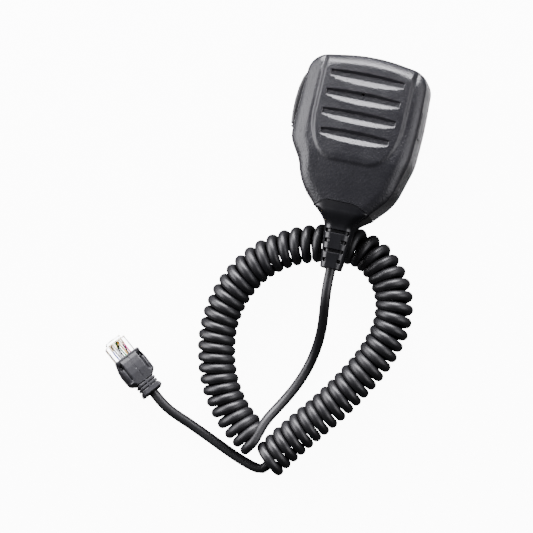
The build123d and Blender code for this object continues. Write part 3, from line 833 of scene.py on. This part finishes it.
# ---- the plug's moulded strain relief: x runs back from the lip at 0
BOOT_HALF_WIDTH = (
    (0.0, 7.4), (-0.25, 7.5), (-1.0, 7.5), (-1.25, 7.3), (-3.0, 7.7), (-6.0, 7.9), (-10.5, 7.9),
    (-13.0, 7.8), (-14.3, 6.7), (-15.1, 5.3), (-20.6, 5.2), (-20.7, 5.6), (-22.2, 5.6), (-22.5, 5.3),
)
BOOT_HALF_THICK = (
    (0.0, 4.9), (-0.25, 5.05), (-1.0, 5.05), (-1.25, 4.85), (-3.0, 5.3), (-6.0, 5.48), (-10.0, 5.4),
    (-12.6, 5.0), (-14.3, 4.5), (-15.1, 4.25), (-20.6, 4.15), (-20.7, 4.7), (-22.2, 4.7), (-22.5, 4.4),
)
BOOT_CORNER = ((0.0, 1.2), (-1.25, 1.4), (-6.0, 2.0), (-12.0, 2.6), (-15.1, 1.6), (-22.5, 1.6))
RIBS_X = (-15.9, -17.7, -19.5)
BOOT_SLANT = 4.5
BOOT_NOTCH = 1.7
BOOT_VALLEY = 0.5
BOOT_LEDGE = 0.75
BOOT_LINE = 0.14
RIB_HALF = 0.42


def box_corners(half, thick, under, over):
    """A box section's corners, with their radii below and above."""
    right = (((half, -thick), under), ((half, thick), over))
    left = (((-half, thick), over), ((-half, -thick), under))
    return (*right, *left)


def window_fn(value, low, high, soft=0.22):
    """One between low and high, falling to zero over a soft edge."""
    return ease(value, low, low + soft) * (1 - ease(value, high - soft, high))


def boot_ring(x):
    half, thick = blend(x, BOOT_HALF_WIDTH), blend(x, BOOT_HALF_THICK)
    radius = blend(x, BOOT_CORNER)
    under = radius * 0.45
    loop = rounded(box_corners(half, thick, under, radius), 0.1)[:-1]
    section = resample_loop(loop, x, 260)
    y, z = section[:, 0], section[:, 2]
    side = np.abs(y)
    top = np.sign(z) * ease(np.abs(z), 2.4, 3.4)
    notch = window_fn(-x, 2.0, 5.0) * window_fn(side, 4.7, 7.0)
    valley = window_fn(-x, 3.6, 12.6, 0.6) * np.exp(-(((side - 5.2) / 0.45) ** 2))
    ledge = window_fn(-x, 1.3, 13.5, 0.5) * ease(side, 4.9, 5.3)
    line = window_fn(-x, 1.1, 14.0) * (side < 0.3)
    z = z - top * (BOOT_NOTCH * notch + BOOT_VALLEY * valley + BOOT_LEDGE * ledge + BOOT_LINE * line)
    for place in RIBS_X:
        groove = window_fn(x, place - RIB_HALF, place + RIB_HALF, 0.12) * ease(side, 0.45, 0.75)
        z = z * (1 - 0.17 * groove)
        y = y * (1 - 0.12 * groove)
    slant = BOOT_SLANT * np.clip(1 + x / 8.5, 0, 1) * (1 - z / thick) / 2
    return np.column_stack([x - slant, y, z])


def plug_boot():
    stations = set(np.round(np.arange(0, -15.0, -0.3), 3))
    stations |= set(np.round(np.arange(-15.1, -22.51, -0.12), 3))
    stations |= {-0.25, -1.0, -1.12, -1.25, -20.6, -20.7, -22.2, -22.5}
    rows = [boot_ring(x) for x in sorted(stations, reverse=True)]
    skin = Skin()
    skin.tube(rows)
    return skin.build("plug_boot_moulding", LOOKS["plug_boot_plastic"], place=PLUG, crease=32)


# ---- the clear plug: a solid block with a stepped, narrower nose; thin wires run through it
PLUG_HALF = (5.85, 3.25)
PLUG_REACH = (-9.0, 11.0)
NOSE_STEP = (9.3, 4.3)


def plug_section(x, half, thick, radius):
    corners = box_corners(half, thick, radius, radius)
    section = resample_loop(rounded(corners, 0.15)[:-1], x, 120)
    return section[:, [1, 0, 2]]


def clear_plug():
    half, thick = PLUG_HALF
    step_x, nose = NOSE_STEP
    rear, front = PLUG_REACH
    rows = [plug_section(x, half, thick, 0.5) for x in (rear, -4.0, 0.0, 4.0, step_x - 0.35)]
    rows.append(plug_section(step_x, half - 0.35, thick - 0.35, 0.4))
    rows.append(plug_section(step_x + 0.02, nose, thick - 0.9, 0.4))
    rows.append(plug_section(front - 0.35, nose, thick - 0.9, 0.4))
    rows.append(plug_section(front, nose - 0.35, thick - 1.25, 0.3))
    skin = Skin()
    skin.tube(rows)
    return skin.build("plug_body_clear", LOOKS["plug_clear"], place=PLUG, crease=25)


def plug_wires():
    """Eight thin wires that lie side by side and wander a little."""
    skin = Skin()
    reach = np.linspace(-8.0, 9.1, 40)
    around = np.linspace(0, 2 * math.pi, 12, endpoint=False)
    for i in range(len(WIRE_COLOURS)):
        y = (i - (len(WIRE_COLOURS) - 1) / 2) * WIRE_PITCH
        rows = []
        for x in reach:
            centre = y + 0.12 * math.sin(0.5 * x + 1.7 * i)
            rows.append([(x, centre + WIRE_R * math.cos(a), -0.05 + WIRE_R * math.sin(a)) for a in around])
        skin.tube(rows)
    return skin.build("plug_wire_set", LOOKS["wire_colours"], place=PLUG)


# ---- the cord: a straight tail from the microphone, the curly part, a straight tail to the plug
TAIL_MIC = (
    (3.0, -53.33, 26.65),
    (3.0, -62.3, 27.43),
    (3.6, -73.0, 24.0),
    (3.0, -84.5, 12.5),
    (0.5, -97.5, 3.4),
    (-3.6, -111.0, 2.6),
    (-9.6, -123.5, 6.5),
    (-15.8, -134.5, 13.2),
)
COIL = (
    (-18.1, -145.2),
    (-27.2, -139.8),
    (-36.2, -131.0),
    (-44.0, -118.4),
    (-48.2, -104.2),
    (-49.5, -89.7),
    (-46.5, -74.8),
    (-39.3, -61.0),
    (-28.8, -50.8),
    (-15.1, -43.6),
    (0.2, -39.9),
    (14.6, -39.8),
    (26.6, -47.4),
    (34.9, -59.6),
    (36.9, -74.5),
    (32.3, -90.8),
    (24.8, -104.8),
    (15.0, -119.9),
    (4.0, -133.8),
    (-5.6, -146.5),
    (-10.8, -154.3),
)
TAIL_PLUG = (
    (-13.4, -160.0, 2.75),
    (-26.9, -156.0, 2.7),
    (-42.5, -149.4, 2.6),
    (-55.4, -144.0, 3.0),
    (-66.8, -139.4, 6.9),
    (-75.6, -132.4, 7.5),
    (-77.6, -130.8, 7.5),
)
JACKET_R = 2.5
HELIX_R = 7.07
TURN_POINTS = 16
# (distance along the coil's middle line, spacing of the turns there)
TURN_SPACING = (
    (0.0, 5.02),
    (15.0, 5.44),
    (50.0, 5.12),
    (80.0, 5.28),
    (110.0, 5.64),
    (135.0, 5.82),
    (160.0, 5.63),
    (185.0, 5.39),
    (210.0, 5.38),
    (240.0, 5.24),
    (294.0, 5.18),
)
END_TURN = 0.5


def spline_curve(name, points, resolution):
    """A smooth open curve with the points, in millimetres, as its control points."""
    data = bpy.data.curves.new(name, "CURVE")
    data.dimensions = "3D"
    spline = data.splines.new("NURBS")
    spline.points.add(len(points) - 1)
    for point, place in zip(spline.points, points):
        point.co = (*(Vector(place) * MM), 1)
    spline.order_u = 3
    spline.use_endpoint_u = True
    spline.resolution_u = resolution
    data.resolution_u = resolution
    return bpy.data.objects.new(name, data)


def curve_points(curve):
    """Points along a curve that has no bevel, in millimetres."""
    mesh = bpy.data.meshes.new_from_object(curve)
    points = np.array([v.co for v in mesh.vertices]) / MM
    bpy.data.meshes.remove(mesh)
    return points


def coil_line():
    """The coil's middle line, evenly spaced."""
    route = spline_curve("coil_route", [(x, y, HELIX_R + JACKET_R + 0.05) for x, y in COIL], 24)
    bpy.context.collection.objects.link(route)
    line = even(curve_points(route), 0.25)
    bpy.data.objects.remove(route)
    return line


def helix_points():
    """Control points of the curly cord's turns, spaced as the cord lies."""
    line = coil_line()
    steps = np.diff(line, axis=0)
    gaps = np.linalg.norm(steps, axis=1)
    heading = np.unwrap(np.arctan2(steps[:, 1], steps[:, 0]))
    pitch = np.interp(np.cumsum(gaps), *zip(*TURN_SPACING))
    turns = np.concatenate(([0], np.cumsum(gaps / pitch)))
    last = round(turns[-1] - END_TURN) + END_TURN
    turns *= last / turns[-1]
    count = round(last * TURN_POINTS)
    radius = HELIX_R / math.cos(math.pi / TURN_POINTS)
    points = []
    for turn in np.linspace(0, last, count + 1):
        centre = [np.interp(turn, turns, line[:, k]) for k in range(3)]
        way = np.interp(turn, turns[:-1], heading)
        across = Vector((-math.sin(way), math.cos(way), 0))
        angle = 2 * math.pi * turn
        up = Vector((0, 0, 1))
        points.append(Vector(centre) + (up * math.cos(angle) + across * math.sin(angle)) * radius)
    return points


def make_cord():
    points = [*TAIL_MIC, *helix_points(), *TAIL_PLUG]
    cord = spline_curve("curly_cord", points, 3)
    cord.data.bevel_depth = JACKET_R * MM
    cord.data.bevel_resolution = 6
    cord.data.use_fill_caps = True
    cord.data.materials.append(LOOKS["cord_jacket"])
    bpy.context.collection.objects.link(cord)
    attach(cord, "microphone")
    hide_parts("cord_tail_mic", "cord_coil", "cord_tail_plug")
    return cord


# ---- floor and light
FLOOR_HALF = 3.0
FLOOR_GLOW = 11.0
LIGHT_TINT = (0.97, 0.955, 1.0)


def make_floor():
    """A pale floor that glows evenly, so that the shadows on it stay faint."""
    mesh = bpy.data.meshes.new("floor")
    half = FLOOR_HALF
    corners = [(-half, -half, 0), (half, -half, 0), (half, half, 0), (-half, half, 0)]
    mesh.from_pydata(corners, [], [(0, 1, 2, 3)])
    floor = bpy.data.objects.new("floor", mesh)
    material, _, _, shader = new_material("floor")
    shader.inputs["Base Color"].default_value = (0.35, 0.35, 0.35, 1)
    shader.inputs["Roughness"].default_value = 0.9
    shader.inputs["Specular IOR Level"].default_value = 0.1
    shader.inputs["Emission Color"].default_value = (1, 1, 1, 1)
    shader.inputs["Emission Strength"].default_value = FLOOR_GLOW
    mesh.materials.append(material)
    bpy.context.collection.objects.link(floor)
    floor.visible_diffuse = False
    floor.visible_glossy = False


def softbox(name, azimuth, elevation, distance, size, power):
    """A rectangular light aimed at the object. Azimuth 0 is past the microphone's top, 90 past its right."""
    turn, rise = math.radians(azimuth), math.radians(elevation)
    data = bpy.data.lights.new(name, "AREA")
    data.shape = "RECTANGLE"
    data.size, data.size_y = size
    data.energy = power
    data.color = LIGHT_TINT
    light = bpy.data.objects.new(name, data)
    way = Vector((math.sin(turn) * math.cos(rise), math.cos(turn) * math.cos(rise), math.sin(rise)))
    light.location = way * distance
    light.rotation_mode = "QUATERNION"
    light.rotation_quaternion = (-way).to_track_quat("-Z", "Y")
    bpy.context.collection.objects.link(light)


def make_light():
    world = bpy.data.worlds.new("studio")
    world.use_nodes = True
    background = world.node_tree.nodes["Background"]
    background.inputs["Color"].default_value = (1, 1, 1, 1)
    background.inputs["Strength"].default_value = 0.05
    bpy.context.scene.world = world
    softbox("top_light", -8, 27, 1.1, (1.2, 0.6), 78.0)
    softbox("left_light", -88, 30, 1.1, (1.1, 0.9), 28.0)
    softbox("right_light", 85, 30, 1.1, (0.9, 0.8), 9.0)


def place_piece(piece, body, slot, *nodes):
    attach(piece, body)
    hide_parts(*nodes)


dress_nodes()
make_camera()
make_floor()
make_light()
cord = make_cord()
place_piece(front_case(), "microphone", "case_plastic", "front_case")
place_piece(strain_relief(), "microphone", "relief_rubber", "strain_relief")
place_piece(ptt_bar(), "ptt_bar", "ptt_plastic", "ptt_bar")
place_piece(side_cover(), "microphone", "case_plastic", "side_blank_cover")
boot, clear, wires = plug_boot(), clear_plug(), plug_wires()
place_piece(boot, "microphone", "plug_boot_plastic", "plug_boot")
place_piece(clear, "microphone", "plug_clear", "plug_body")
place_piece(wires, "microphone", "wire_colours", "plug_wires")
